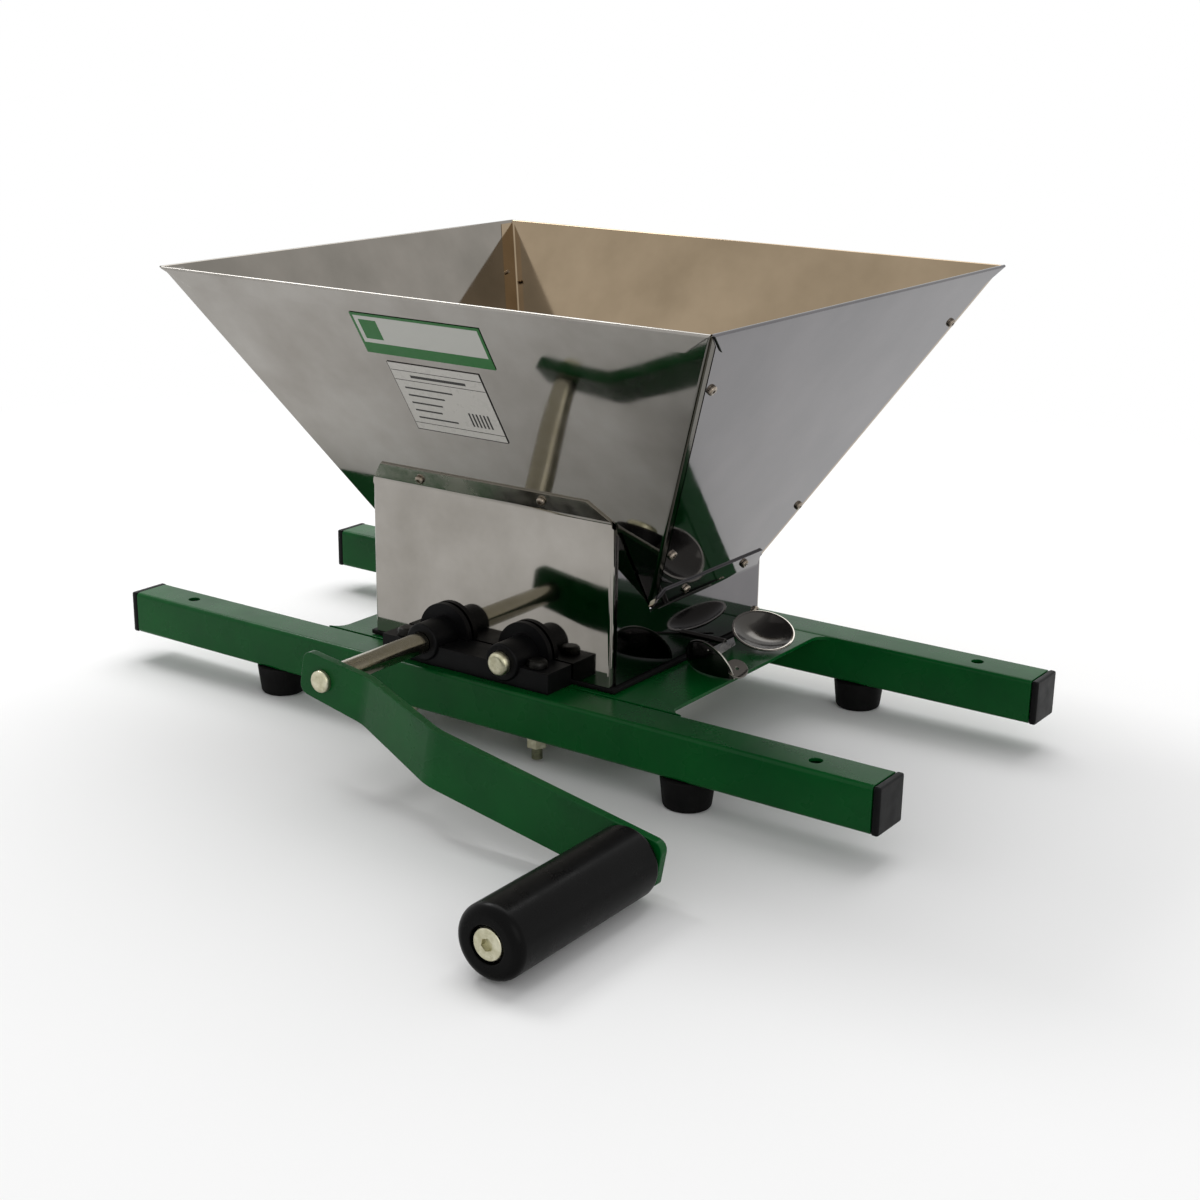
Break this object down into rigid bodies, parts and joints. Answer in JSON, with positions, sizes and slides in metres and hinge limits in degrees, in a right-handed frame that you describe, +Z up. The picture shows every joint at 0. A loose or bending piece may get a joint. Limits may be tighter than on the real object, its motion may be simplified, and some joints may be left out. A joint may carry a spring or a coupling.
{
  "type": "hand cranked grape crusher",
  "caption": "Hand cranked grape crusher: steel hopper over two geared lobed rollers, on square rails with rubber feet, with a cranked arm and turning grip.",
  "frame": {"origin": "on the plane under the rubber feet, below the middle of the machine's bounding box", "axes": "+X along the rails to the right of someone who stands at the crank, +Y from the crank to the back, +Z up"},
  "size_m": [0.5086, 0.4612, 0.2509],
  "materials": {
    "front_rail": "gloss powder coat",
    "rear_rail": "gloss powder coat",
    "front_cap_left": "moulded",
    "front_cap_right": "moulded",
    "rear_cap_left": "moulded",
    "rear_cap_right": "moulded",
    "front_foot_left": "moulded",
    "front_foot_right": "moulded",
    "rear_foot_left": "moulded",
    "rear_foot_right": "moulded",
    "base_plate": "gloss powder coat",
    "gasket": "extruded",
    "housing_front": "polished",
    "housing_right": "polished",
    "housing_rear": "polished",
    "housing_left": "polished",
    "hopper_front": "polished",
    "hopper_right": "polished",
    "hopper_rear": "polished",
    "hopper_left": "polished",
    "front_bearing_bracket": "moulded",
    "rear_bearing_bracket": "moulded",
    "drive_bush_front": "moulded",
    "drive_bush_rear": "moulded",
    "driven_bush_front": "moulded",
    "driven_bush_rear": "moulded",
    "front_bracket_bolt_left": "zinc plated",
    "front_bracket_bolt_right": "zinc plated",
    "rear_bracket_bolt_left": "zinc plated",
    "rear_bracket_bolt_right": "zinc plated",
    "front_bracket_nut_left": "zinc plated",
    "front_bracket_nut_right": "zinc plated",
    "rear_bracket_nut_left": "zinc plated",
    "rear_bracket_nut_right": "zinc plated",
    "gear_guard": "polished",
    "side_guide_left": "polished",
    "side_guide_right": "polished",
    "latch_lug": "gloss powder coat",
    "drive_shaft": "turned",
    "drive_roller": "moulded",
    "drive_gear": "cut",
    "drive_roller_pin": "turned",
    "drive_gear_pin": "turned",
    "drive_end_screw_rear": "zinc plated",
    "crank_arm": "gloss powder coat",
    "crank_bolt": "zinc plated",
    "grip_axle": "zinc plated",
    "grip_axle_nut": "zinc plated",
    "grip": "satin moulded",
    "driven_shaft": "turned",
    "driven_roller": "moulded",
    "driven_gear": "cut",
    "driven_roller_pin": "turned",
    "driven_gear_pin": "turned",
    "driven_end_screw_front": "zinc plated",
    "driven_end_screw_rear": "zinc plated",
    "latch_pin": "turned",
    "latch_grip": "stamped, polished"
  },
  "bodies": {
    "frame": {"front_rail": "front_rail", "rear_rail": "rear_rail", "front_cap_left": "front_cap_left", "front_cap_right": "front_cap_right", "rear_cap_left": "rear_cap_left", "rear_cap_right": "rear_cap_right", "front_foot_left": "front_foot_left", "front_foot_right": "front_foot_right", "rear_foot_left": "rear_foot_left", "rear_foot_right": "rear_foot_right", "base_plate": "base_plate", "gasket": "gasket", "housing_front": "housing_front", "housing_right": "housing_right", "housing_rear": "housing_rear", "housing_left": "housing_left", "hopper_front": "hopper_front", "hopper_right": "hopper_right", "hopper_rear": "hopper_rear", "hopper_left": "hopper_left", "front_bearing_bracket": "front_bearing_bracket", "rear_bearing_bracket": "rear_bearing_bracket", "drive_bush_front": "drive_bush_front", "drive_bush_rear": "drive_bush_rear", "driven_bush_front": "driven_bush_front", "driven_bush_rear": "driven_bush_rear", "front_bracket_bolt_left": "front_bracket_bolt_left", "front_bracket_bolt_right": "front_bracket_bolt_right", "rear_bracket_bolt_left": "rear_bracket_bolt_left", "rear_bracket_bolt_right": "rear_bracket_bolt_right", "front_bracket_nut_left": "front_bracket_nut_left", "front_bracket_nut_right": "front_bracket_nut_right", "rear_bracket_nut_left": "rear_bracket_nut_left", "rear_bracket_nut_right": "rear_bracket_nut_right", "gear_guard": "gear_guard", "side_guide_left": "side_guide_left", "side_guide_right": "side_guide_right", "latch_lug": "latch_lug"},
    "crank": {"drive_shaft": "drive_shaft", "drive_roller": "drive_roller", "drive_gear": "drive_gear", "drive_roller_pin": "drive_roller_pin", "drive_gear_pin": "drive_gear_pin", "drive_end_screw_rear": "drive_end_screw_rear", "crank_arm": "crank_arm", "crank_bolt": "crank_bolt", "grip_axle": "grip_axle", "grip_axle_nut": "grip_axle_nut"},
    "driven": {"driven_shaft": "driven_shaft", "driven_roller": "driven_roller", "driven_gear": "driven_gear", "driven_roller_pin": "driven_roller_pin", "driven_gear_pin": "driven_gear_pin", "driven_end_screw_front": "driven_end_screw_front", "driven_end_screw_rear": "driven_end_screw_rear"},
    "handle": {"grip": "grip"},
    "latch": {"latch_pin": "latch_pin", "latch_grip": "latch_grip"}
  },
  "joints": [
    {"name": "crank_turn", "type": "hinge", "parent": "frame", "child": "crank", "pos_m": [-0.0275, 0.07104, 0.0546], "axis": [0, 1, 0], "continuous": true},
    {"name": "driven_turn", "type": "hinge", "parent": "frame", "child": "driven", "pos_m": [0.0275, 0.07104, 0.0546], "axis": [0, 1, 0], "continuous": true},
    {"name": "grip_spin", "type": "hinge", "parent": "crank", "child": "handle", "pos_m": [0.17701, -0.17897, 0.01891], "axis": [0, 1, 0], "continuous": true},
    {"name": "latch_pull", "type": "slide", "parent": "frame", "child": "latch", "axis": [1, 0, 0], "range_m": [0, 0.01]}
  ],
  "couplings": [
    {"joint": "driven_turn", "follows": "crank_turn", "ratio": -1}
  ]
}
